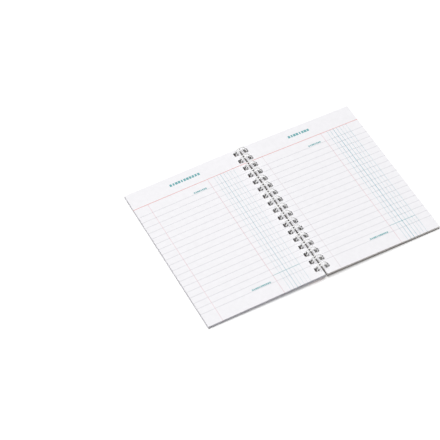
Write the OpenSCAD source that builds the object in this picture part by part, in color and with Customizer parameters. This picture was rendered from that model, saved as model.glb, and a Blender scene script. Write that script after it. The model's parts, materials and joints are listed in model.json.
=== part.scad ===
// A pocket cash book on a twin-loop wire binding, lying open at a spread.
// X runs across the spread, Y up the page and Z up from the table. The spine lies along Y at x = 0.
// Both stacks hinge on the axis of the wire rings. They slope down from it to the table at their outer edges.

/* [Leaves] */
// Width of a leaf and of both covers
leaf_w = 105; // [70:1:210]
// Height of a leaf and of both covers
leaf_h = 148; // [80:1:297]
// Thickness of one sheet of paper
leaf_t = 0.09; // [0.06:0.01:0.2]
// Air between two sheets that lie on each other
leaf_air = 0.01; // [0.005:0.005:0.05]
// Number of leaves that lie on the front cover
left_count = 28; // [5:1:40]
// Number of leaves that lie on the back cover
right_count = 22; // [5:1:40]

/* [Covers] */
// Thickness of the printed front card
front_t = 0.3; // [0.2:0.05:1]
// Thickness of the grey back board
back_t = 0.9; // [0.4:0.05:2]

/* [Binding] */
// Spacing of the wire loops, three to the inch
pitch = 8.467; // [7.5:0.001:12.7]
// Diameter of the coated wire
wire_d = 0.85; // [0.6:0.05:1.1]
// Spacing of the two wires of a loop
twin_gap = 2.5; // [2:0.1:3.2]
// Radius at which a loop turns into the straight back wire
bend_r = 1.2; // [0.9:0.1:1.5]
// How far the loop tips stop short of the back wire
tip_short = 0.45; // [0.4:0.05:1]
// Length of the cut wire beyond the first and last bend
wire_end = 0.8; // [0.5:0.1:2]

/* [Holes] */
// Open strip between the two stacks at the spine
spine_gap = 1.7; // [0.6:0.1:3]
// Strip of paper between a leaf's spine edge and its holes
hole_margin = 1.85; // [1.2:0.05:3]
// Top edge of a leaf to the middle of its first hole
top_margin = 5; // [4:0.1:10]
// Room between the wire and the strip of paper inside the rings
ring_clear = 0.2; // [0.1:0.05:1]
// Room between the wire and the outer end of a hole
hole_play = 1.35; // [0.2:0.05:3]
// Room between the wire and each side of a hole
side_clear = 0.325; // [0.1:0.005:0.6]
// Half the room between the two stacks when the book is closed
half_gap = 0.1; // [0.05:0.05:0.5]

/* [Hidden] */
// Sides of the wire, and steps along its parts
wire_sides = 6;
arc_steps = 14;
tip_steps = 5;
bend_steps = 3;

leaf_count = left_count + right_count;
leaf_step = leaf_t + leaf_air;
bottom_left = half_gap + left_count * leaf_step + front_t;
bottom_right = half_gap + right_count * leaf_step + back_t;

// Rings that clear the paper strip inside them, and holes that clear the rings
hole_in = spine_gap / 2 + hole_margin;
ring_in = norm([hole_in, max(bottom_left, bottom_right)]) + ring_clear;
ring_r = ring_in + wire_d / 2;
axis_z = ring_r + wire_d / 2;
hole_l = axis_z + hole_play - hole_in;
hole_w = twin_gap + wire_d + 2 * side_clear;

loops = floor((leaf_h - 2 * top_margin) / pitch) + 1;
reach = spine_gap / 2 + leaf_w;

function leaf_name(i) = str("leaf_", i < 10 ? "0" : "", i);

// Middle of loop i, counted from the top of the page
function loop_y(i) = leaf_h / 2 - top_margin - i * pitch;

// Slope at which a stack whose underside lies this far below the axis meets the table at its outer edge
function slope(bottom) = asin(axis_z / norm([reach, bottom])) - atan2(bottom, reach);

// The wire is laid out flat first, as [along the spine, round the ring], with the back wire at zero
ring_length = 2 * PI * ring_r;
tip_start = ring_length - tip_short - twin_gap / 2;
half_twin = twin_gap / 2;
bend_y = half_twin + bend_r;

function lead_in(y) = [for (k = [0:bend_steps])
    let (q = 90 * k / bend_steps)
    [y + bend_y - bend_r * sin(q), bend_r - bend_r * cos(q)]];

function lead_out(y) = [for (k = [0:bend_steps])
    let (q = 90 * k / bend_steps)
    [y - bend_y + bend_r * cos(q), bend_r - bend_r * sin(q)]];

function tip(y) = [for (k = [0:tip_steps])
    let (q = 180 * k / tip_steps)
    [y + half_twin * cos(q), tip_start + half_twin * sin(q)]];

function run(y, from, to) = [for (k = [1:arc_steps - 1]) [y, from + (to - from) * k / arc_steps]];

function loop_path(y) = concat(
    lead_in(y),
    run(y + half_twin, bend_r, tip_start),
    tip(y),
    run(y - half_twin, tip_start, bend_r),
    lead_out(y));

wire_path = concat(
    [[loop_y(0) + bend_y + wire_end, 0]],
    [for (i = [0:loops - 1]) each loop_path(loop_y(i))],
    [[loop_y(loops - 1) - bend_y - wire_end, 0]]);

// The flat layout is then rolled round the axis, from the bottom of the ring up its right side
function outward(flat) =
    let (turn = flat[1] * 180 / (PI * ring_r) - 90)
    [cos(turn), 0, sin(turn)];

function rolled(flat) = [0, flat[0], axis_z] + ring_r * outward(flat);

function unit(v) = v / norm(v);

// One section of the wire, square to the wire and with a corner on the outside of the ring
function wire_section(points, i) =
    let (last = len(points) - 1)
    let (along = unit(points[min(i + 1, last)] - points[max(i - 1, 0)]))
    let (side = unit(cross(along, outward(wire_path[i]))))
    let (out = cross(side, along))
    [for (k = [0:wire_sides - 1])
        let (q = 360 * k / wire_sides)
        points[i] + wire_d / 2 * (out * cos(q) + side * sin(q))];

// Least clear distance between wires of two neighbouring loops, apart from points next to each other
function wire_clearance(points) =
    let (skip = tip_steps + 1)
    min([for (i = [0:len(points) - 1]) for (j = [i + skip:1:len(points) - 1])
        norm(points[i] - points[j])]) - wire_d;

module wire_binding() {
    points = [for (flat = wire_path) rolled(flat)];
    two_loops = [for (i = [0:1]) each [for (flat = loop_path(loop_y(i))) rolled(flat)]];
    echo(least_gap_of_the_wire_to_itself_mm = wire_clearance(two_loops));
    corners = [for (i = [0:len(points) - 1]) each wire_section(points, i)];
    last_ring = (len(points) - 1) * wire_sides;
    skin = [for (i = [0:len(points) - 2]) for (k = [0:wire_sides - 1])
        let (a = i * wire_sides + k)
        let (b = i * wire_sides + (k + 1) % wire_sides)
        each [[a, b, b + wire_sides], [a, b + wire_sides, a + wire_sides]]];
    start_cap = [for (k = [1:wire_sides - 2]) [0, k + 1, k]];
    end_cap = [for (k = [1:wire_sides - 2]) [last_ring, last_ring + k, last_ring + k + 1]];
    color("white") polyhedron(corners, concat(skin, start_cap, end_cap));
}

// Outline of every sheet, with its row of square holes beside the spine
module punched_outline() {
    difference() {
        translate([spine_gap / 2, -leaf_h / 2]) square([leaf_w, leaf_h]);
        for (i = [0:loops - 1]) {
            translate([hole_in, loop_y(i) - hole_w / 2]) square([hole_l, hole_w]);
        }
    }
}

// A sheet whose upper face lies this far below the ring axis
module right_sheet(depth, thickness) {
    translate([0, 0, axis_z])
        rotate([0, slope(bottom_right), 0])
            translate([0, 0, -depth - thickness]) linear_extrude(thickness) punched_outline();
}

module left_sheet(depth, thickness) {
    translate([0, 0, axis_z])
        rotate([0, -slope(bottom_left), 0])
            translate([0, 0, -depth - thickness]) linear_extrude(thickness) mirror([1, 0]) punched_outline();
}

module front_cover() {
    color("midnightblue") left_sheet(bottom_left - front_t, front_t);
}

module back_cover() {
    color("rosybrown") right_sheet(bottom_right - back_t, back_t);
}

// Leaves are numbered from the front cover, so the left stack counts up and the right stack down
module leaf(i) {
    color("ghostwhite")
        if (i <= left_count) {
            left_sheet(half_gap + (left_count - i) * leaf_step, leaf_t);
        } else {
            right_sheet(half_gap + (i - left_count - 1) * leaf_step, leaf_t);
        }
}

front_cover();
back_cover();
wire_binding();
for (i = [1:leaf_count]) {
    leaf(i);
}
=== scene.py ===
"""An open pocket cash book: ruled leaves, a printed card front, a board back and one coated twin-loop wire.

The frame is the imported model's own, in metres: X runs across the spread, Y up the page and Z up from the
table. Each sheet's size, slope and row of holes is read from its solid in the frame. Print and finishes are
laid out in millimetres on the page.
"""

import json
import logging
import math
import random
from dataclasses import dataclass
from enum import Enum, IntEnum
from typing import Iterable, Mapping, Optional, Union

import bmesh
import bpy
from mathutils import Matrix, Vector
from mathutils.geometry import tessellate_polygon


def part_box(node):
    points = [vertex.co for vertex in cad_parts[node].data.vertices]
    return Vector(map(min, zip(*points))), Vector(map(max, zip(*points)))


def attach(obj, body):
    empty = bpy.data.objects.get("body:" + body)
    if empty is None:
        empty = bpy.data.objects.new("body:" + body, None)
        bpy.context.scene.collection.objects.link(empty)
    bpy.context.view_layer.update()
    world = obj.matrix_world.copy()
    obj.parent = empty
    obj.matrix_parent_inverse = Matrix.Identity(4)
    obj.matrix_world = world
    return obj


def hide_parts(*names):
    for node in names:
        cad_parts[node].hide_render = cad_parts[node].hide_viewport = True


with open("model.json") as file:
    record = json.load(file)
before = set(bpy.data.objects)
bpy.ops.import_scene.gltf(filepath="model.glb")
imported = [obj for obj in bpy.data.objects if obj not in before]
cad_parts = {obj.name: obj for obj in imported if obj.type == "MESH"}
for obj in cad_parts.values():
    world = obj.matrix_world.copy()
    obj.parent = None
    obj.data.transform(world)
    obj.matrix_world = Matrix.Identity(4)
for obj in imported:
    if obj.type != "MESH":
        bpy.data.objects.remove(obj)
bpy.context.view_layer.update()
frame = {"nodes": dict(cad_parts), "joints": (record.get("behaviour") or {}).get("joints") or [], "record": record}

LOG = logging.getLogger("cash_book")
MM = 0.001
SAME_PLACE_MM = 0.002
AXIS = Vector(frame["joints"][0]["pos_m"])
BODY_OF = {node: body for body, nodes in frame["record"]["behaviour"]["bodies"].items() for node in nodes}

Material = bpy.types.Material
Socket = bpy.types.NodeSocket
Outputs = bpy.types.NodeOutputs
Tree = bpy.types.NodeTree
Form = bmesh.types.BMesh
Loop = list[bmesh.types.BMVert]
Colour = tuple[float, float, float, float]
Feed = Union[Socket, float, Colour, tuple[float, float, float], Vector]
Feeds = Mapping[Union[int, str], Feed]
Point2 = tuple[float, float]
Finishes = tuple[Material, Material, Material, Material]

# The map that a sheet's finishes are baked on: its free edge, the second face's place over the first one's
# width, and the strips above the faces for the cut edges, with the length that one metre of edge takes
BAKE_MAP = "OFBake"
MAP_EDGE = 0.01
FACE_STEP = 1.03
FIRST_STRIP = 0.8
STRIP_HEIGHT = 0.03
STRIP_LENGTH = 1.6

# Spacing of the blocks that stand for a word, over their height, and the least and most that they fill of it
BLOCK_STEP = 1.0
BLOCK_SHARE = (0.5, 0.9)

# Sockets of a colour Mix node, which have the same names for every data type
MIX_FACTOR, MIX_UNDER, MIX_OVER, MIX_COLOUR = 0, 6, 7, 2

# The span that nearly all values of a noise lie in
NOISE_SPAN = {"From Min": 0.3, "From Max": 0.7}

# Refractive index of cellulose, for paper, card and board
PAPER_IOR = 1.47

# What the cut edges of all leaves share: the clouds, the tooth and the gloss of the fibres' ends
PAPER_EDGE = dict(cloud_mm=1.5, tooth_mm=0.15, tooth_height_mm=0.01, rough_low=0.85, rough_high=0.98)

WHITE = "#FFFFFF"


def linear(hex_colour: str) -> Colour:
    """Turn an sRGB hex colour into linear light.

    Args:
        hex_colour: The colour as #RRGGBB.

    Returns:
        Red, green, blue and full alpha, as shaders take them.
    """
    shares = [int(hex_colour[place:place + 2], 16) / 255 for place in (1, 3, 5)]
    light = [share / 12.92 if share <= 0.04045 else ((share + 0.055) / 1.055) ** 2.4 for share in shares]
    return light[0], light[1], light[2], 1.0


def add_node(tree: Tree, kind: str, feeds: Optional[Feeds] = None, **settings: object) -> Outputs:
    """Add a node, set its properties, and link or set its inputs.

    Args:
        tree: The tree that the node goes into.
        kind: Blender's name of the node's type, without the ShaderNode that all of them start with.
        feeds: For each input, by index or name, the socket that feeds it or its value.
        settings: The node's own properties.

    Returns:
        The new node's outputs.
    """
    node = tree.nodes.new("ShaderNode" + kind)
    for name, value in settings.items():
        setattr(node, name, value)
    for key, feed in (feeds or {}).items():
        if isinstance(feed, Socket):
            tree.links.new(feed, node.inputs[key])
        else:
            node.inputs[key].default_value = feed
    return node.outputs


def start_material(name: str) -> tuple[Material, Tree]:
    """Make a material with an empty node tree.

    Args:
        name: The material's name.

    Returns:
        The material and its node tree.
    """
    material = bpy.data.materials.new(name)
    material.use_nodes = True
    material.node_tree.nodes.clear()
    return material, material.node_tree


def close_material(tree: Tree, feeds: Feeds) -> None:
    """Give a material its one Principled shader.

    Args:
        tree: The material's node tree.
        feeds: What the shader is fed with.
    """
    shader = add_node(tree, "BsdfPrincipled", feeds)
    add_node(tree, "OutputMaterial", {"Surface": shader[0]})


def viewer_rays(tree: Tree) -> Socket:
    """Find the rays that show the studio itself: to the camera, in a gloss, or through something clear.

    Args:
        tree: The node tree of the floor or the sky.

    Returns:
        One for such a ray, and zero for the rays that carry light.
    """
    ray = add_node(tree, "LightPath")
    seen = ray["Is Camera Ray"]
    for kind in ("Is Glossy Ray", "Is Transmission Ray"):
        seen = add_node(tree, "Math", {0: seen, 1: ray[kind]}, operation="MAXIMUM")[0]
    return seen


def distinct(values: Iterable[float]) -> list[float]:
    """Sort values and drop those that repeat.

    Args:
        values: Lengths in millimetres.

    Returns:
        The different lengths, smallest first.
    """
    kept: list[float] = []
    for value in sorted(values):
        if not kept or value - kept[-1] > SAME_PLACE_MM:
            kept.append(value)
    return kept


def quads(first: Loop, second: Loop) -> list[Loop]:
    """List the faces that join two closed rows of points.

    Args:
        first: The first row.
        second: The second row, as long as the first.

    Returns:
        The four corners of each face.
    """
    rows = zip(first, first[1:] + first[:1], second[1:] + second[:1], second)
    return [list(corners) for corners in rows]


def finish_piece(name: str, form: Form, finishes: Iterable[Material]) -> bpy.types.Object:
    """Turn a built form into a piece of the scene.

    Args:
        name: Name of the piece.
        form: The form, which is used up.
        finishes: The piece's materials, in order.

    Returns:
        The piece.
    """
    mesh = bpy.data.meshes.new(name)
    form.normal_update()
    form.to_mesh(mesh)
    form.free()
    for finish in finishes:
        mesh.materials.append(finish)
    piece = bpy.data.objects.new(name, mesh)
    bpy.context.scene.collection.objects.link(piece)
    return piece


def settle(piece: bpy.types.Object, node: str) -> None:
    """Let a piece stand for a node and ride on its body.

    Args:
        piece: The finished piece.
        node: The solid that the piece replaces.
    """
    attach(piece, BODY_OF[node])
    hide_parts(node)
    LOG.info("%s: %d faces, rides on %s", piece.name, len(piece.data.polygons), BODY_OF[node])


class PageFace(Enum):
    """The two faces of a leaf, named as in bookbinding."""

    RECTO = "recto"
    VERSO = "verso"


class SheetSide(IntEnum):
    """The kinds of surface on a sheet, in the order of its materials."""

    UPPER = 0
    UNDER = 1
    TRIM = 2
    PUNCHED = 3


class Overlap(Enum):
    """Where joined masks count: where all of them lie, or where any of them does."""

    ALL = "MULTIPLY"
    ANY = "MAXIMUM"


# A face's corners, their places on the map and the kind of surface
Facet = tuple[Loop, list[Point2], SheetSide]


@dataclass(frozen=True)
class Ink:
    """A printing ink: its solid colour and how much of the sheet it covers."""

    colour: str
    strength: float = 1.0


@dataclass(frozen=True)
class Ruling:
    """Where a page's print lies, in millimetres from the page's left and top edges."""

    margin_x: float
    money_x: float
    column_x: float
    column_step: float
    heading_mid: float
    heading_length: float
    word_end: float
    column_widths: tuple[float, ...] = (0.16, 0.2, 0.32, 0.2, 0.16, 0.12, 0.16)
    head_y: float = 17.1
    row_y: float = 26.4
    row_step: float = 6.03
    rows: int = 19
    heading_y: float = 8.5
    heading_height: float = 2.5
    word_height: float = 1.5
    first_word_length: float = 12.0
    first_word_rise: float = 1.47
    last_word_length: float = 17.0
    last_word_rise: float = 1.17
    total_row: int = 17
    total_line: float = 0.36
    line: float = 0.2
    upright_line: float = 0.3
    head_line: float = 0.5

    @property
    def block_width(self) -> float:
        """Width of the block of figure columns, from its first line to its last."""
        return self.column_step * (len(self.column_widths) - 1)


@dataclass
class Plate:
    """A printing plate: masks laid out in millimetres from a face's left and top edges."""

    tree: Tree
    across: Socket
    down: Socket

    @classmethod
    def on_face(cls, tree: Tree, face: PageFace, sheet: "PunchedSheet") -> "Plate":
        """Lay a plate on one face of a sheet.

        Args:
            tree: The material's node tree.
            face: The face that is printed, which says at which side the spine lies.
            sheet: A sheet of the size that is printed.

        Returns:
            The plate, with its millimetres worked out from the place on the sheet.
        """
        place = add_node(tree, "TexCoord")["Object"]
        parts = add_node(tree, "SeparateXYZ", {0: place})
        reach = add_node(tree, "Math", {0: parts["X"]}, operation="ABSOLUTE")[0]
        if face is PageFace.RECTO:
            scale, start = 1 / MM, -sheet.spine_edge
        else:
            scale, start = -1 / MM, sheet.fore_edge
        across = add_node(tree, "Math", {0: reach, 1: scale, 2: start}, operation="MULTIPLY_ADD")
        down = add_node(tree, "Math", {0: parts["Y"], 1: -1 / MM, 2: sheet.head}, operation="MULTIPLY_ADD")
        return cls(tree, across[0], down[0])

    def stroke(self, along: Socket, middle: float, width: float) -> Socket:
        """Mask of a straight stroke that runs square to a coordinate, over the whole face."""
        feeds = {0: along, 1: middle, 2: width / 2}
        return add_node(self.tree, "Math", feeds, operation="COMPARE")[0]

    def strokes(self, along: Socket, first: float, step: float, count: int, width: float) -> Socket:
        """Mask of evenly spaced strokes.

        Args:
            along: The coordinate that the strokes are spaced along.
            first: Middle of the first stroke.
            step: Spacing of the strokes.
            count: Number of strokes.
            width: Width of one stroke.

        Returns:
            The mask.
        """
        start = first - step / 2
        from_start = add_node(self.tree, "Math", {0: along, 1: start}, operation="SUBTRACT")
        in_step = add_node(self.tree, "Math", {0: from_start[0], 1: step, 2: 0.0}, operation="WRAP")
        every = self.stroke(in_step[0], step / 2, width)
        span = self.stroke(along, first + step * (count - 1) / 2, step * count)
        return self.join(Overlap.ALL, every, span)

    def patch(self, left: float, top: float, width: float, height: float) -> Socket:
        """Mask of a rectangle.

        Args:
            left: Left edge.
            top: Top edge.
            width: Width of the rectangle.
            height: Height of the rectangle.

        Returns:
            The mask.
        """
        beside = self.stroke(self.across, left + width / 2, width)
        below = self.stroke(self.down, top + height / 2, height)
        return self.join(Overlap.ALL, beside, below)

    def word(self, left: float, middle_y: float, length: float, height: float) -> Socket:
        """Mask of a row of blocks that stands for a word without any letters.

        Args:
            left: Left end of the row.
            middle_y: Middle of the row.
            length: Length of the row.
            height: Height of a block.

        Returns:
            The mask.
        """
        tree = self.tree
        step = length / round(length / (BLOCK_STEP * height))
        from_left = add_node(tree, "Math", {0: self.across, 1: left}, operation="SUBTRACT")
        steps = add_node(tree, "Math", {0: from_left[0], 1: step}, operation="DIVIDE")
        number = add_node(tree, "Math", {0: steps[0]}, operation="FLOOR")
        in_step = add_node(tree, "Math", {0: steps[0]}, operation="FRACT")
        chance = add_node(tree, "TexWhiteNoise", {"W": number[0]}, noise_dimensions="1D")
        least, most = BLOCK_SHARE
        half_feeds = {"Value": chance["Value"], "To Min": least / 2, "To Max": most / 2}
        half = add_node(tree, "MapRange", half_feeds)
        blocks = add_node(tree, "Math", {0: in_step[0], 1: 0.5, 2: half[0]}, operation="COMPARE")
        beside = self.stroke(self.across, left + length / 2, length)
        return self.join(Overlap.ALL, blocks[0], beside, self.stroke(self.down, middle_y, height))

    def join(self, overlap: Overlap, *masks: Socket) -> Socket:
        """Join masks into one.

        Args:
            overlap: Where the joined masks count.
            masks: The masks.

        Returns:
            The joined mask.
        """
        joined = masks[0]
        for mask in masks[1:]:
            joined = add_node(self.tree, "Math", {0: joined, 1: mask}, operation=overlap.value)[0]
        return joined

    def print_over(self, under: Socket, prints: Iterable[tuple[Ink, Socket]]) -> Socket:
        """Print inks one after the other over what is already on the sheet.

        Args:
            under: The colour that is there.
            prints: Each ink with the mask of where it goes.

        Returns:
            The colour after printing.
        """
        for ink, mask in prints:
            cover = add_node(self.tree, "Math", {0: mask, 1: ink.strength}, operation="MULTIPLY")
            feeds = {MIX_FACTOR: cover[0], MIX_UNDER: under, MIX_OVER: linear(ink.colour)}
            under = add_node(self.tree, "Mix", feeds, data_type="RGBA")[MIX_COLOUR]
        return under


@dataclass(frozen=True)
class FibreSurface:
    """The felted surface of a paper or board: cloudy colour, uneven gloss and a fine tooth.

    Cellulose fibres are about 0.03 mm wide. The tooth is drawn coarser than that, so that it shows in a close
    view.
    """

    pale: str
    dark: str
    cloud_mm: float
    tooth_mm: float
    tooth_height_mm: float
    rough_low: float
    rough_high: float

    def lay(self, tree: Tree) -> dict[str, Socket]:
        """Lay out the nodes of the bare sheet.

        Args:
            tree: The material's node tree.

        Returns:
            The sheet's colour, roughness and normal, by the names of the shader's inputs.
        """
        place = add_node(tree, "TexCoord")["Object"]
        cloud_feeds = {"Vector": place, "Scale": 1 / (self.cloud_mm * MM), "Detail": 3.0, "Roughness": 0.55}
        cloud = add_node(tree, "TexNoise", cloud_feeds)
        tooth_feeds = {"Vector": place, "Scale": 1 / (self.tooth_mm * MM), "Detail": 2.0, "Roughness": 0.6}
        tooth = add_node(tree, "TexNoise", tooth_feeds)
        rough_feeds = {"Value": tooth[0], **NOISE_SPAN, "To Min": self.rough_low, "To Max": self.rough_high}
        rough = add_node(tree, "MapRange", rough_feeds)
        bump_feeds = {"Height": tooth[0], "Strength": 0.6, "Distance": self.tooth_height_mm * MM}
        bump = add_node(tree, "Bump", bump_feeds)
        shade = add_node(tree, "MapRange", {"Value": cloud[0], **NOISE_SPAN})
        feeds = {MIX_FACTOR: shade[0], MIX_UNDER: linear(self.dark), MIX_OVER: linear(self.pale)}
        colour = add_node(tree, "Mix", feeds, data_type="RGBA")[MIX_COLOUR]
        return {"Base Color": colour, "Roughness": rough[0], "Normal": bump[0]}


@dataclass(frozen=True)
class RuledPaper:
    """Wood-free writing paper, machine made, and ruled in grey, red and teal on an offset press."""

    # Matt and nearly white, with faint clouds where fibres lie thicker, and thin flat ink without an edge.
    face: PageFace
    ruling: Ruling
    surface: FibreSurface = FibreSurface("#F6F5F8", "#F2F1F4", cloud_mm=4.0, tooth_mm=0.25,
                                         tooth_height_mm=0.012, rough_low=0.82, rough_high=0.96)
    row_ink: Ink = Ink("#9A99A3", 0.8)
    figure_ink: Ink = Ink("#4C6C7A", 0.15)
    head_ink: Ink = Ink("#DA7670", 0.78)
    money_ink: Ink = Ink("#CE8C94", 0.65)
    margin_ink: Ink = Ink("#D4868F", 0.52)
    column_ink: Ink = Ink("#2A9EB2", 0.72)
    word_ink: Ink = Ink("#2A9CA0", 0.85)

    def make(self, sheet: "PunchedSheet") -> Material:
        """Make the material of one printed face.

        Args:
            sheet: A sheet of the size that is printed.

        Returns:
            The material.
        """
        material, tree = start_material(f"ruled_writing_paper_{self.face.value}")
        bare = self.surface.lay(tree)
        plate = Plate.on_face(tree, self.face, sheet)
        lay = self.ruling
        rows = plate.strokes(plate.down, lay.row_y, lay.row_step, lay.rows, lay.line)
        figures = plate.stroke(plate.across, lay.column_x + lay.block_width / 2, lay.block_width)
        columns = [(lay.column_x + place * lay.column_step, width)
                   for place, width in enumerate(lay.column_widths)]
        printed = plate.print_over(bare["Base Color"], [
            (self.row_ink, rows),
            (self.figure_ink, plate.join(Overlap.ALL, rows, figures)),
            (self.head_ink, plate.stroke(plate.down, lay.head_y, lay.head_line)),
            (self.money_ink, self._uprights(plate, [(lay.money_x, lay.upright_line)])),
            (self.margin_ink, self._uprights(plate, [(lay.margin_x, lay.upright_line)])),
            (self.column_ink, self._uprights(plate, columns)),
            (self.word_ink, self._words(plate))])
        close_material(tree, {**bare, "Base Color": printed, "IOR": PAPER_IOR})
        return material

    def _uprights(self, plate: Plate, lines: Iterable[Point2]) -> Socket:
        """Mask of upright lines, below the head line.

        Args:
            plate: The plate of the face.
            lines: Middle and width of each line.

        Returns:
            The mask.
        """
        strokes = [plate.stroke(plate.across, middle, width) for middle, width in lines]
        below = add_node(plate.tree, "Math", {0: plate.down, 1: self.ruling.head_y}, operation="GREATER_THAN")
        return plate.join(Overlap.ALL, plate.join(Overlap.ANY, *strokes), below[0])

    def _words(self, plate: Plate) -> Socket:
        """Mask of the blocks in the places of words, and of the line that a total stands on.

        Args:
            plate: The plate of the face.

        Returns:
            The mask.
        """
        lay = self.ruling
        last_y = lay.row_y + lay.row_step * (lay.rows - 1)
        total_y = lay.row_y + lay.row_step * lay.total_row
        heading = plate.word(lay.heading_mid - lay.heading_length / 2, lay.heading_y,
                             lay.heading_length, lay.heading_height)
        first = plate.word(lay.word_end - lay.first_word_length, lay.row_y - lay.first_word_rise,
                           lay.first_word_length, lay.word_height)
        last = plate.word(lay.word_end - lay.last_word_length, last_y - lay.last_word_rise,
                          lay.last_word_length, lay.word_height)
        total = plate.patch(lay.money_x, total_y - lay.total_line / 2,
                            lay.column_x + lay.block_width - lay.money_x, lay.total_line)
        return plate.join(Overlap.ANY, heading, first, last, total)


@dataclass(frozen=True)
class CutEdge:
    """The guillotined edge of a sheet: the cut ends of its fibres."""

    # Quite matt and a little darker than the sheet's face, because light goes in between the fibres' ends. Some
    # edges are made darker still, which is painted shade.
    name: str
    surface: FibreSurface

    def make(self) -> Material:
        """Make the edge's material.

        Returns:
            The material.
        """
        material, tree = start_material(self.name)
        close_material(tree, {**self.surface.lay(tree), "IOR": PAPER_IOR})
        return material


@dataclass(frozen=True)
class PrintedCard:
    """Coated cover card, printed in solid colours by offset and sealed with a dispersion varnish."""

    # Deep even colour under a thin satin skin, which shows soft highlights and a faint orange peel.
    surface: FibreSurface = FibreSurface("#20255A", "#1B2050", cloud_mm=26.0, tooth_mm=0.6,
                                         tooth_height_mm=0.004, rough_low=0.3, rough_high=0.42)
    ior: float = 1.5
    specular_level: float = 0.2
    spine_ink: Ink = Ink("#8A1C12")
    band_ink: Ink = Ink("#0E6AB2")
    line_ink: Ink = Ink("#F1F1EE")
    grid_ink: Ink = Ink("#4A5391", 0.75)
    rule_ink: Ink = Ink("#9FA6B8")
    spine_strip: float = 15.0
    bleed: float = 1.0
    band_top: float = 26.0
    band_height: float = 38.0
    label_left: float = 26.0
    label_width: float = 68.0
    label_inset: float = 6.0
    label_margin: float = 5.0
    label_rules: int = 3
    grid_step: float = 6.0
    grid_columns: int = 12
    grid_rows: int = 8
    grid_foot: float = 12.0
    hairline: float = 0.5

    def make(self, sheet: "PunchedSheet") -> Material:
        """Make the material of the printed face.

        Args:
            sheet: The cover.

        Returns:
            The material.
        """
        material, tree = start_material("varnished_offset_card")
        bare = self.surface.lay(tree)
        plate = Plate.on_face(tree, PageFace.RECTO, sheet)
        wide = sheet.fore_edge - sheet.spine_edge
        tall = sheet.head - sheet.foot
        band = plate.patch(0, self.band_top, wide, self.band_height)
        band_lines = [plate.stroke(plate.down, edge, self.hairline)
                      for edge in (self.band_top, self.band_top + self.band_height)]
        label, rules = self._label(plate)
        strip = plate.patch(-self.bleed, -self.bleed, self.spine_strip + self.bleed, tall + 2 * self.bleed)
        printed = plate.print_over(bare["Base Color"], [
            (self.grid_ink, self._grid(plate, wide, tall)),
            (self.band_ink, band),
            (self.line_ink, plate.join(Overlap.ANY, *band_lines, label)),
            (self.rule_ink, rules),
            (self.spine_ink, strip),
            (self.line_ink, plate.stroke(plate.across, self.spine_strip, 2 * self.hairline))])
        close_material(tree, {**bare, "Base Color": printed, "IOR": self.ior,
                              "Specular IOR Level": self.specular_level})
        return material

    def _grid(self, plate: Plate, wide: float, tall: float) -> Socket:
        """Mask of the drawn grid, midway between the spine strip and the fore edge.

        Args:
            plate: The plate of the face.
            wide: Width of the cover.
            tall: Height of the cover.

        Returns:
            The mask.
        """
        width = self.grid_step * (self.grid_columns - 1)
        height = self.grid_step * (self.grid_rows - 1)
        left = (self.spine_strip + wide - width) / 2
        top = tall - self.grid_foot - height
        uprights = plate.strokes(plate.across, left, self.grid_step, self.grid_columns, self.hairline)
        levels = plate.strokes(plate.down, top, self.grid_step, self.grid_rows, self.hairline)
        lines = plate.join(Overlap.ANY, uprights, levels)
        return plate.join(Overlap.ALL, lines, plate.patch(left, top, width, height))

    def _label(self, plate: Plate) -> tuple[Socket, Socket]:
        """Masks of the blank label on the band and of the rules to write on.

        Args:
            plate: The plate of the face.

        Returns:
            The label's mask and the rules' mask.
        """
        top = self.band_top + self.label_inset
        height = self.band_height - 2 * self.label_inset
        step = height / (self.label_rules + 1)
        label = plate.patch(self.label_left, top, self.label_width, height)
        rules = plate.strokes(plate.down, top + step, step, self.label_rules, self.hairline / 2)
        room = plate.patch(self.label_left + self.label_margin, top,
                           self.label_width - 2 * self.label_margin, height)
        return label, plate.join(Overlap.ALL, rules, room)


@dataclass(frozen=True)
class PlainBoard:
    """A bare face of card or greyboard, calendered flat."""

    # Matt and soft to the eye, with clouds and with flecks of darker fibre along the machine's direction.
    name: str
    surface: FibreSurface
    fleck: Ink
    fleck_mm: float
    fleck_share: float
    fleck_edge: float = 0.08
    width_over_length: float = 0.35

    def make(self) -> Material:
        """Make the board's material, with its flecks drawn out along the page's height.

        Returns:
            The material.
        """
        material, tree = start_material(self.name)
        bare = self.surface.lay(tree)
        place = add_node(tree, "TexCoord")["Object"]
        drawn = add_node(tree, "Mapping", {"Vector": place, "Scale": (1.0, self.width_over_length, 1.0)})
        feeds = {"Vector": drawn[0], "Scale": 1 / (self.fleck_mm * MM), "Detail": 4.0, "Roughness": 0.7}
        scatter = add_node(tree, "TexNoise", feeds)
        least = 1 - self.fleck_share
        cover = add_node(tree, "MapRange", {"Value": scatter[0], "From Min": least,
                                            "From Max": least + self.fleck_edge,
                                            "To Max": self.fleck.strength})
        feeds = {MIX_FACTOR: cover[0], MIX_UNDER: bare["Base Color"], MIX_OVER: linear(self.fleck.colour)}
        flecked = add_node(tree, "Mix", feeds, data_type="RGBA")[MIX_COLOUR]
        close_material(tree, {**bare, "Base Color": flecked, "IOR": PAPER_IOR})
        return material


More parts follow.
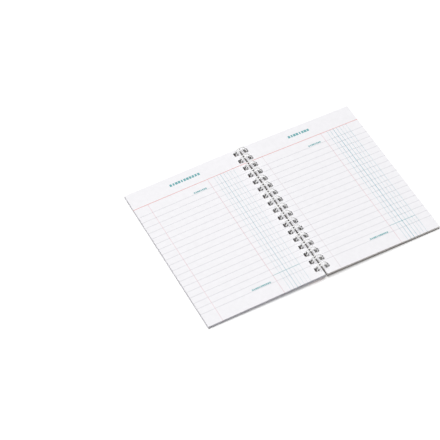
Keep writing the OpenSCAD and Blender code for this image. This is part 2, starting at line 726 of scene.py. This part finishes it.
@dataclass(frozen=True)
class NylonCoat:
    """White polyamide, fused onto the steel wire as a coat a tenth of a millimetre thick."""

    # Smooth and half glossy, with the slight waviness of a coat that flowed before it set.
    pale: str = "#FBFBFA"
    dark: str = "#F4F4F3"
    ior: float = 1.53
    wave_mm: float = 1.6
    wave_height_mm: float = 0.02
    rough_low: float = 0.3
    rough_high: float = 0.44

    def make(self) -> Material:
        """Make the coat's material.

        Returns:
            The material.
        """
        material, tree = start_material("nylon_coated_wire")
        place = add_node(tree, "TexCoord")["Object"]
        wave_feeds = {"Vector": place, "Scale": 1 / (self.wave_mm * MM), "Detail": 2.0}
        wave = add_node(tree, "TexNoise", wave_feeds)
        rough_feeds = {"Value": wave[0], **NOISE_SPAN, "To Min": self.rough_low, "To Max": self.rough_high}
        rough = add_node(tree, "MapRange", rough_feeds)
        bump_feeds = {"Height": wave[0], "Strength": 0.3, "Distance": self.wave_height_mm * MM}
        bump = add_node(tree, "Bump", bump_feeds)
        feeds = {MIX_FACTOR: wave[0], MIX_UNDER: linear(self.dark), MIX_OVER: linear(self.pale)}
        colour = add_node(tree, "Mix", feeds, data_type="RGBA")[MIX_COLOUR]
        coat = {"Base Color": colour, "Roughness": rough[0], "Normal": bump[0], "IOR": self.ior}
        close_material(tree, coat)
        return material


@dataclass(frozen=True)
class ShearedSteel:
    """Low-carbon steel wire where it was sheared off."""

    # A small bright disc with the streaks of the cutter, which tells the core from its white coat.
    pale: str = "#C9C8C4"
    dark: str = "#8F8E8B"
    streak_mm: float = 0.12
    width_over_length: float = 0.2
    rough_low: float = 0.25
    rough_high: float = 0.5

    def make(self) -> Material:
        """Make the cut end's material.

        Returns:
            The material.
        """
        material, tree = start_material("sheared_steel")
        place = add_node(tree, "TexCoord")["Object"]
        drawn = add_node(tree, "Mapping", {"Vector": place, "Scale": (1.0, 1.0, self.width_over_length)})
        streak = add_node(tree, "TexNoise", {"Vector": drawn[0], "Scale": 1 / (self.streak_mm * MM)})
        rough_feeds = {"Value": streak[0], "To Min": self.rough_low, "To Max": self.rough_high}
        rough = add_node(tree, "MapRange", rough_feeds)
        feeds = {MIX_FACTOR: streak[0], MIX_UNDER: linear(self.dark), MIX_OVER: linear(self.pale)}
        colour = add_node(tree, "Mix", feeds, data_type="RGBA")[MIX_COLOUR]
        close_material(tree, {"Base Color": colour, "Roughness": rough[0], "Metallic": 1.0})
        return material


@dataclass
class PunchedSheet:
    """One flat sheet with its row of punched holes, in millimetres from the ring axis along the sheet.

    A place on the sheet is given as reach, from the axis towards the fore edge, and height up the page.
    """

    side: int
    slope: float
    spine_edge: float
    hole_in: float
    hole_out: float
    fore_edge: float
    foot: float
    head: float
    holes: list[Point2]
    under: float
    upper: float
    corner_r: float = 0.5
    corner_steps: int = 4
    ease: float = 0.0
    shift: Point2 = (0.0, 0.0)

    @classmethod
    def from_node(cls, node: str) -> "PunchedSheet":
        """Read a sheet's size, slope and holes from its solid in the frame.

        Args:
            node: The sheet's node.

        Returns:
            The sheet.
        """
        mesh = frame["nodes"][node].data
        widest = max(mesh.polygons, key=lambda face: face.area)
        normal = widest.normal if widest.normal.z > 0 else -widest.normal
        slope = math.atan2(normal.x, normal.z)
        level = Matrix.Rotation(-slope, 3, "Y")
        places = [level @ (vertex.co - AXIS) / MM for vertex in mesh.vertices]
        spine_edge, hole_in, hole_out, fore_edge = distinct(abs(place.x) for place in places)
        heights = distinct(place.y for place in places)
        under, upper = distinct(place.z for place in places)
        side = 1 if places[0].x > 0 else -1
        holes = list(zip(heights[1:-1:2], heights[2:-1:2]))
        return cls(side, slope, spine_edge, hole_in, hole_out, fore_edge, heights[0], heights[-1], holes,
                   under, upper)

    def place(self, reach: float, height: float, depth: float) -> Vector:
        """Place of a point of the sheet in the frame, in metres.

        Args:
            reach: Millimetres from the ring axis, along the sheet.
            height: Millimetres up the page.
            depth: Millimetres above the plane through the axis, mostly below zero.

        Returns:
            The place.
        """
        flat = Vector((self.side * reach, height, depth)) * MM
        return Matrix.Rotation(self.slope, 3, "Y") @ flat + AXIS

    def _outlines(self, inset: float) -> list[list[Point2]]:
        """Draw the outer edge, anticlockwise, and the holes, clockwise.

        Args:
            inset: How far the outlines are drawn back from the edges into the sheet.

        Returns:
            The outlines, the outer edge first.
        """
        along, up = self.shift
        left, right = self.spine_edge + inset + along, self.fore_edge - inset + along
        low, high = self.foot + inset + up, self.head - inset + up
        loops = [[(left, low), (right, low), (right, high), (left, high)]]
        hole_left, hole_right = self.hole_in - inset + along, self.hole_out + inset + along
        for bottom, top in self.holes:
            box = (hole_left, bottom - inset + up, hole_right, top + inset + up)
            loops.append(self._rounded_hole(box, self.corner_r + inset))
        return loops

    def _rounded_hole(self, box: tuple[float, float, float, float], radius: float) -> list[Point2]:
        """Draw a punched hole, clockwise, with the small radius of the punch at its corners.

        Args:
            box: The hole's left, low, right and high edges.
            radius: The radius at its corners.

        Returns:
            The outline.
        """
        left, low, right, high = box
        corners = ((left + radius, low + radius, 270), (left + radius, high - radius, 180),
                   (right - radius, high - radius, 90), (right - radius, low + radius, 0))
        outline: list[Point2] = []
        for mid_x, mid_y, start in corners:
            for step in range(self.corner_steps + 1):
                turn = math.radians(start - 90 * step / self.corner_steps)
                outline.append((mid_x + radius * math.cos(turn), mid_y + radius * math.sin(turn)))
        return outline

    def build(self, name: str, finishes: Finishes) -> bpy.types.Object:
        """Build the sheet's mesh.

        Args:
            name: Name of the piece.
            finishes: The material of each kind of surface, in the order of SheetSide.

        Returns:
            The piece.
        """
        form = bmesh.new()
        bake_map = form.loops.layers.uv.new(BAKE_MAP)
        # Depth and inset of each outline, from the under face to the upper one
        layers = [(self.under, self.ease), (self.upper, self.ease)]
        if self.ease:
            layers[1:1] = [(self.under + self.ease, 0.0), (self.upper - self.ease, 0.0)]
        rings = [[[form.verts.new(self.place(reach, height, depth)) for reach, height in loop]
                  for loop in self._outlines(inset)] for depth, inset in layers]
        facets = self._wall(rings)
        facets += self._face(rings[-1], SheetSide.UPPER)
        facets += self._face(rings[0], SheetSide.UNDER)
        for corners, spots, kind in facets:
            face = form.faces.new(corners)
            face.material_index = kind
            for loop, spot in zip(face.loops, spots):
                loop[bake_map].uv = spot
        return finish_piece(name, form, finishes)

    def _face(self, ring: list[Loop], side: SheetSide) -> list[Facet]:
        """Fill the upper or under face between the outer edge and the holes, and map it beside the other.

        Args:
            ring: The outlines' points.
            side: Which of the two faces it is.

        Returns:
            The face's triangles.
        """
        outlines = self._outlines(self.ease)
        points = [point for loop in ring for point in loop]
        flat = [spot for loop in outlines for spot in loop]
        wide = self.fore_edge - self.spine_edge
        unit = 1 / (2 * FACE_STEP * max(wide, (self.head - self.foot) / 2))
        on_map = [(MAP_EDGE + unit * (reach - self.spine_edge + side * FACE_STEP * wide),
                   MAP_EDGE + unit * (height - self.foot)) for reach, height in flat]
        facets: list[Facet] = []
        for one, two, three in tessellate_polygon([[Vector((*spot, 0.0)) for spot in loop]
                                                   for loop in outlines]):
            start, middle, end = (Vector(flat[corner]) for corner in (one, two, three))
            looks_up = self.side * (middle - start).cross(end - start) > 0
            turn = (one, two, three) if looks_up == (side is SheetSide.UPPER) else (one, three, two)
            facets.append(([points[corner] for corner in turn], [on_map[corner] for corner in turn], side))
        return facets

    def _wall(self, rings: list[list[Loop]]) -> list[Facet]:
        """Close the cut edges of the sheet and of its holes, and map them in strips above the faces.

        Args:
            rings: The outlines' points, from the under face up.

        Returns:
            The walls' faces, which run the other way round on a left sheet.
        """
        facets: list[Facet] = []
        across, strip = MAP_EDGE, FIRST_STRIP
        for index in range(len(rings[0])):
            kind = SheetSide.PUNCHED if index else SheetSide.TRIM
            for layer, (lower, upper) in enumerate(zip(rings, rings[1:])):
                low, high = (strip + STRIP_HEIGHT * step / (len(rings) - 1) for step in (layer, layer + 1))
                run = across
                for corners in quads(lower[index], upper[index]):
                    start, run = run, run + STRIP_LENGTH * (corners[1].co - corners[0].co).length
                    spots = [(start, low), (run, low), (run, high), (start, high)]
                    facets.append((corners[::self.side], spots[::self.side], kind))
            across = run + MAP_EDGE
            if kind is SheetSide.TRIM:
                across, strip = MAP_EDGE, strip + STRIP_HEIGHT + MAP_EDGE
        return facets


@dataclass
class LeafBlock:
    """The ruled leaves: those on the front cover show their verso, those on the back cover their recto."""

    names: list[str]
    shown: tuple[str, str] = ("leaf_28", "leaf_29")
    stray_mm: float = 0.07
    most_stray_mm: float = 0.14
    trim_mm: float = 0.02
    seed: int = 28
    recto: Ruling = Ruling(margin_x=12.7, money_x=68.9, column_x=74.7, column_step=3.08, heading_mid=52.3,
                           heading_length=20.6, word_end=64.6)
    verso: Ruling = Ruling(margin_x=12.8, money_x=67.8, column_x=73.6, column_step=3.0, heading_mid=51.2,
                           heading_length=28.2, word_end=63.2)
    # Painted shade: the front cover's leaves get a cooler, darker cut edge than the back cover's, which stands in
    # for shade
    shade_painted_edge: FibreSurface = FibreSurface("#B6B4BC", "#A9A7AF", **PAPER_EDGE)
    fresh: FibreSurface = FibreSurface("#CFC9C1", "#C3BDB5", **PAPER_EDGE)
    # Painted shade: the walls of the punched holes are far darker than the other cut edges, standing in for the
    # shade inside the holes
    punched: FibreSurface = FibreSurface("#8A8788", "#767374", **PAPER_EDGE)
    recto_margin: Ink = Ink("#B89AA2", 0.45)
    recto_columns: Ink = Ink("#2A9EB2", 0.97)
    recto_figures: Ink = Ink("#4C6C7A", 0.6)

    def dress(self, sheet: PunchedSheet) -> tuple[Finishes, Finishes]:
        """Make the leaves' materials, for leaves of one sheet's size.

        Args:
            sheet: A leaf.

        Returns:
            The finishes of a leaf on the front cover and of one on the back cover.
        """
        recto = RuledPaper(PageFace.RECTO, self.recto, margin_ink=self.recto_margin,
                           column_ink=self.recto_columns, figure_ink=self.recto_figures).make(sheet)
        verso = RuledPaper(PageFace.VERSO, self.verso).make(sheet)
        # The hole walls take the darkest edge, which is painted shade
        punched = CutEdge("punched_paper_edge_painted_shade", self.punched).make()
        # The leaves on the front cover take the darker edge, which is painted shade
        shade_painted_edge = CutEdge("paper_edge_painted_shade", self.shade_painted_edge).make()
        fresh = CutEdge("guillotined_paper_edge", self.fresh).make()
        return (verso, recto, shade_painted_edge, punched), (recto, verso, fresh, punched)

    def build(self) -> None:
        """Build every leaf, a little out of line with its neighbours, as in a trimmed and handled book.

        The two leaves of the spread lie straight and are a little taller, so their print is baked the finest.
        """
        rng = random.Random(self.seed)
        on_front, on_back = self.dress(PunchedSheet.from_node(self.names[0]))
        most = self.most_stray_mm
        for node in self.names:
            sheet = PunchedSheet.from_node(node)
            along, up = (max(-most, min(most, rng.gauss(0, self.stray_mm))) for _ in range(2))
            if node not in self.shown:
                sheet.shift = (along, up)
                sheet.head -= self.trim_mm
            piece = sheet.build(f"ruled_{node}", on_back if sheet.side > 0 else on_front)
            settle(piece, node)


@dataclass
class FrontCover:
    """The card cover under the left stack: printed outside, bare inside, with a white cut edge."""

    node: str = "front_cover"
    ease_mm: float = 0.04
    inside: PlainBoard = PlainBoard(
        "uncoated_card", FibreSurface("#F1F0EC", "#EBEAE6", cloud_mm=5.0, tooth_mm=0.3,
                                      tooth_height_mm=0.012, rough_low=0.7, rough_high=0.85),
        Ink("#D8D5CE", 0.4), fleck_mm=1.2, fleck_share=0.36)
    edge: CutEdge = CutEdge(
        "guillotined_card_edge", FibreSurface("#E2E0DC", "#CFCDC9", cloud_mm=1.5, tooth_mm=0.2,
                                              tooth_height_mm=0.01, rough_low=0.8, rough_high=0.95))

    def build(self) -> None:
        """Build and dress the cover."""
        sheet = PunchedSheet.from_node(self.node)
        sheet.ease = self.ease_mm
        edge = self.edge.make()
        finishes = (self.inside.make(), PrintedCard().make(sheet), edge, edge)
        settle(sheet.build("printed_front_cover", finishes), self.node)


@dataclass
class BackCover:
    """The greyboard under the right stack, bare on both faces."""

    node: str = "back_cover"
    ease_mm: float = 0.08
    face: PlainBoard = PlainBoard(
        "greyboard", FibreSurface("#9C8F82", "#8C8075", cloud_mm=7.0, tooth_mm=0.4,
                                  tooth_height_mm=0.03, rough_low=0.85, rough_high=0.97),
        Ink("#6B6058", 0.7), fleck_mm=1.4, fleck_share=0.38)
    # The board's cut edge is far darker than its faces: partly the board's own rough cut, partly painted shade
    edge: CutEdge = CutEdge(
        "greyboard_edge_painted_shade", FibreSurface("#453B32", "#352C25", cloud_mm=0.8, tooth_mm=0.2,
                                            tooth_height_mm=0.03, rough_low=0.88, rough_high=0.98))

    def build(self) -> None:
        """Build and dress the board."""
        sheet = PunchedSheet.from_node(self.node)
        sheet.ease = self.ease_mm
        face, edge = self.face.make(), self.edge.make()
        settle(sheet.build("greyboard_back_cover", (face, face, edge, edge)), self.node)


@dataclass
class TwinLoopWire:
    """One unbroken wire, bent into a pair of prongs at every hole and closed into rings, in millimetres.

    The wire is laid out flat first, as a place along the spine and a length round the ring. It starts at the
    back wire, which lies on the table, and is then rolled round the ring axis.
    """

    node: str = "wire_binding"
    beside: str = "leaf_29"
    wire_d: float = 0.85
    core_d: float = 0.65
    twin_gap: float = 2.5
    bend_r: float = 1.2
    tip_short: float = 0.45
    wire_end: float = 0.8
    sides: int = 14
    arc_steps: int = 40
    tip_steps: int = 14
    bend_steps: int = 8
    lean_mm: float = 0.05
    swell_mm: float = 0.04
    seed: int = 17

    @property
    def ring_r(self) -> float:
        """Radius of the rings at the middle of the wire, whose back lies on the table."""
        return AXIS.z / MM - self.wire_d / 2

    def _loop(self, middle: float) -> list[Point2]:
        """Lay out one loop flat, from the back wire round the ring and back.

        Args:
            middle: Place of the loop's middle along the spine.

        Returns:
            The points, without the straight back wire on either side.
        """
        half = self.twin_gap / 2
        bend = [math.radians(90 * step / self.bend_steps) for step in range(self.bend_steps + 1)]
        tip = [math.radians(180 * step / self.tip_steps) for step in range(self.tip_steps + 1)]
        tip_start = 2 * math.pi * self.ring_r - self.tip_short - half
        run = [self.bend_r + (tip_start - self.bend_r) * step / self.arc_steps
               for step in range(1, self.arc_steps)]
        reach = half + self.bend_r
        lead_in = [(middle + reach - self.bend_r * math.sin(turn), self.bend_r * (1 - math.cos(turn)))
                   for turn in bend]
        lead_out = [(middle - reach + self.bend_r * math.cos(turn), self.bend_r * (1 - math.sin(turn)))
                    for turn in bend]
        over = [(middle + half * math.cos(turn), tip_start + half * math.sin(turn)) for turn in tip]
        first = [(middle + half, length) for length in run]
        second = [(middle - half, length) for length in reversed(run)]
        return lead_in + first + over + second + lead_out

    def _path(self) -> tuple[list[Vector], list[Vector]]:
        """Work out the middle line of the whole wire, and the direction away from the axis at its points.

        Each loop leans along the spine and swells by a few hundredths, as bent wire does.

        Returns:
            The points and the directions, in millimetres.
        """
        rng = random.Random(self.seed)
        sheet = PunchedSheet.from_node(self.beside)
        middles = [(low + high) / 2 for low, high in reversed(sheet.holes)]
        tail = self.twin_gap / 2 + self.bend_r + self.wire_end
        laid = [(middles[0] + tail, 0.0, 0.0)]
        for middle in middles:
            lean, swell = rng.uniform(-1, 1) * self.lean_mm, rng.uniform(-1, 1) * self.swell_mm
            for along, length in self._loop(middle):
                part = math.sin(math.pi * length / (2 * math.pi * self.ring_r)) ** 2
                laid.append((along + lean * part, length, swell * part))
        laid.append((middles[-1] - tail, 0.0, 0.0))
        turns = [length / self.ring_r - math.pi / 2 for _, length, _ in laid]
        outward = [Vector((math.cos(turn), 0.0, math.sin(turn))) for turn in turns]
        points = [Vector((0, along, AXIS.z / MM)) + (self.ring_r + swell) * out
                  for (along, _, swell), out in zip(laid, outward)]
        return points, outward

    def build(self) -> None:
        """Sweep the wire's round section along its path, with a steel core showing at both cut ends."""
        points, outward = self._path()
        form = bmesh.new()
        rings: list[Loop] = []
        radius = self.wire_d / 2
        turns = [2 * math.pi * step / self.sides for step in range(self.sides)]
        for index, (point, out) in enumerate(zip(points, outward)):
            along = (points[min(index + 1, len(points) - 1)] - points[max(index - 1, 0)]).normalized()
            beside = along.cross(out).normalized()
            over = beside.cross(along)
            section = [point + radius * (over * math.cos(turn) + beside * math.sin(turn)) for turn in turns]
            rings.append([form.verts.new(place * MM) for place in section])
        for first, second in zip(rings, rings[1:]):
            for corners in quads(first, second):
                form.faces.new(corners).smooth = True
        self._cut_end(form, rings[0], points[0], flip=True)
        self._cut_end(form, rings[-1], points[-1], flip=False)
        piece = finish_piece("twin_loop_wire", form, (NylonCoat().make(), ShearedSteel().make()))
        settle(piece, self.node)

    def _cut_end(self, form: Form, ring: Loop, middle: Vector, flip: bool) -> None:
        """Close a cut end with a ring of coat round a disc of steel.

        Args:
            form: The mesh that is being built.
            ring: The last section's points.
            middle: The section's middle, in millimetres.
            flip: Whether the end looks back along the wire.
        """
        share = self.core_d / self.wire_d
        core = [form.verts.new(middle * MM + (vert.co - middle * MM) * share) for vert in ring]
        for corners in quads(ring, core):
            form.faces.new(corners[::-1] if flip else corners)
        disc = form.faces.new(core[::-1] if flip else core)
        disc.material_index = 1


@dataclass(frozen=True)
class StudioFloor:
    """A sweep of matt white paper, in metres."""

    # Its glow to the camera is cut off in a box under the wire, which paints shade there; round the book it is
    # softly shaded, and further away it is plain white.
    colour: str = "#F2F2F2"
    lift: float = 0.25
    shaded_by: str = "wire_binding"
    shade_edge: float = 0.004
    fade_start: float = 0.35
    fade_end: float = 1.2

    def make(self) -> Material:
        """Make the floor's material, which is lifted towards white with the distance from the wire.

        Returns:
            The material.
        """
        material, tree = start_material("matt_white_sweep")
        matt = add_node(tree, "BsdfDiffuse", {"Color": linear(self.colour)})
        away = self._away(tree)
        # Painted shade: no glow in the box under the wire, rising to the full lift a few millimetres outside it
        near_feeds = {"Value": away, "From Max": self.shade_edge, "To Max": self.lift}
        near = add_node(tree, "MapRange", near_feeds)
        far_feeds = {"Value": away, "From Min": self.fade_start, "From Max": self.fade_end,
                     "To Max": 1.0 - self.lift}
        far = add_node(tree, "MapRange", far_feeds, interpolation_type="SMOOTHSTEP")
        lift = add_node(tree, "Math", {0: near[0], 1: far[0]}, operation="ADD")
        strength = add_node(tree, "Math", {0: viewer_rays(tree), 1: lift[0]}, operation="MULTIPLY")
        glow = add_node(tree, "Emission", {"Color": linear(WHITE), "Strength": strength[0]})
        both = add_node(tree, "AddShader", {0: matt[0], 1: glow[0]})
        add_node(tree, "OutputMaterial", {"Surface": both[0]})
        return material

    def _away(self, tree: Tree) -> Socket:
        """Work out how far a place on the floor lies outside the wire's box.

        Args:
            tree: The floor's node tree.

        Returns:
            The distance, which is below zero under the wire.
        """
        low, high = (Vector(corner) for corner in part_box(self.shaded_by))
        place = add_node(tree, "NewGeometry")["Position"]
        from_middle = add_node(tree, "VectorMath", {0: place, 1: (low + high) / 2}, operation="SUBTRACT")
        unsigned = add_node(tree, "VectorMath", {0: from_middle[0]}, operation="ABSOLUTE")
        beyond = add_node(tree, "VectorMath", {0: unsigned[0], 1: (high - low) / 2}, operation="SUBTRACT")
        parts = add_node(tree, "SeparateXYZ", {0: beyond[0]})
        return add_node(tree, "Math", {0: parts["X"], 1: parts["Y"]}, operation="MAXIMUM")[0]


@dataclass
class Studio:
    """The floor, one softbox, the even sky and the camera at the viewing angle of the open spread."""

    azimuth: float = -27.98
    elevation: float = 51.67
    distance: float = 1.4866
    aim: tuple[float, float, float] = (-0.04717, 0.01733, 0.0)
    focal_px: float = 1826.7
    image_px: int = 440
    sensor_mm: float = 36.0
    floor_half: float = 4.0
    sky: float = 0.27
    key_power: float = 85.0
    key_size: float = 2.6
    key_place: tuple[float, float, float] = (-0.5, 0.2, 3.0)

    def build(self) -> None:
        """Build the floor, the softbox, the sky and the camera."""
        self._floor()
        self._softbox()
        self._sky()
        self._camera()

    def _floor(self) -> None:
        """Lay a wide plain floor at the height of the table."""
        half = self.floor_half
        corners = ((-half, -half, 0), (half, -half, 0), (half, half, 0), (-half, half, 0))
        form = bmesh.new()
        form.faces.new([form.verts.new(corner) for corner in corners])
        finish_piece("studio_floor", form, [StudioFloor().make()])

    def _softbox(self) -> None:
        """Hang a square softbox overhead that looks at the middle of the book."""
        light = bpy.data.lights.new("overhead_softbox", "AREA")
        light.energy = self.key_power
        light.size = self.key_size
        lamp = bpy.data.objects.new("overhead_softbox", light)
        lamp.location = self.key_place
        lamp.rotation_euler = Vector(self.key_place).to_track_quat("Z", "Y").to_euler()
        bpy.context.scene.collection.objects.link(lamp)

    def _sky(self) -> None:
        """Give even light from all round, which shows white to the camera."""
        world = bpy.data.worlds.new("studio_sky")
        world.use_nodes = True
        tree = world.node_tree
        tree.nodes.clear()
        feeds = {"Value": viewer_rays(tree), "To Min": self.sky, "To Max": 1.0}
        strength = add_node(tree, "MapRange", feeds)
        light = add_node(tree, "Background", {"Color": linear(WHITE), "Strength": strength[0]})
        add_node(tree, "OutputWorld", {"Surface": light[0]})
        bpy.context.scene.world = world

    def _camera(self) -> None:
        """Set up a long lens that looks down on the spread from the lower left."""
        turn, rise = math.radians(self.azimuth), math.radians(self.elevation)
        back = Vector((math.sin(turn) * math.cos(rise), -math.cos(turn) * math.cos(rise), math.sin(rise)))
        lens = bpy.data.cameras.new("photo_lens")
        lens.sensor_width = self.sensor_mm
        lens.lens = self.focal_px * self.sensor_mm / self.image_px
        camera = bpy.data.objects.new("photo_camera", lens)
        camera.location = Vector(self.aim) + self.distance * back
        camera.rotation_euler = back.to_track_quat("Z", "Y").to_euler()
        bpy.context.scene.collection.objects.link(camera)
        bpy.context.scene.camera = camera


def main() -> None:
    """Build the studio and the book's sub-assemblies."""
    logging.basicConfig(level=logging.INFO, format="%(name)s: %(message)s")
    bpy.context.scene.view_settings.view_transform = "Standard"
    leaves = sorted(node for node in frame["nodes"] if node.startswith("leaf_"))
    for part in (Studio(), FrontCover(), BackCover(), LeafBlock(leaves), TwinLoopWire()):
        part.build()


if __name__ == "__main__":
    main()
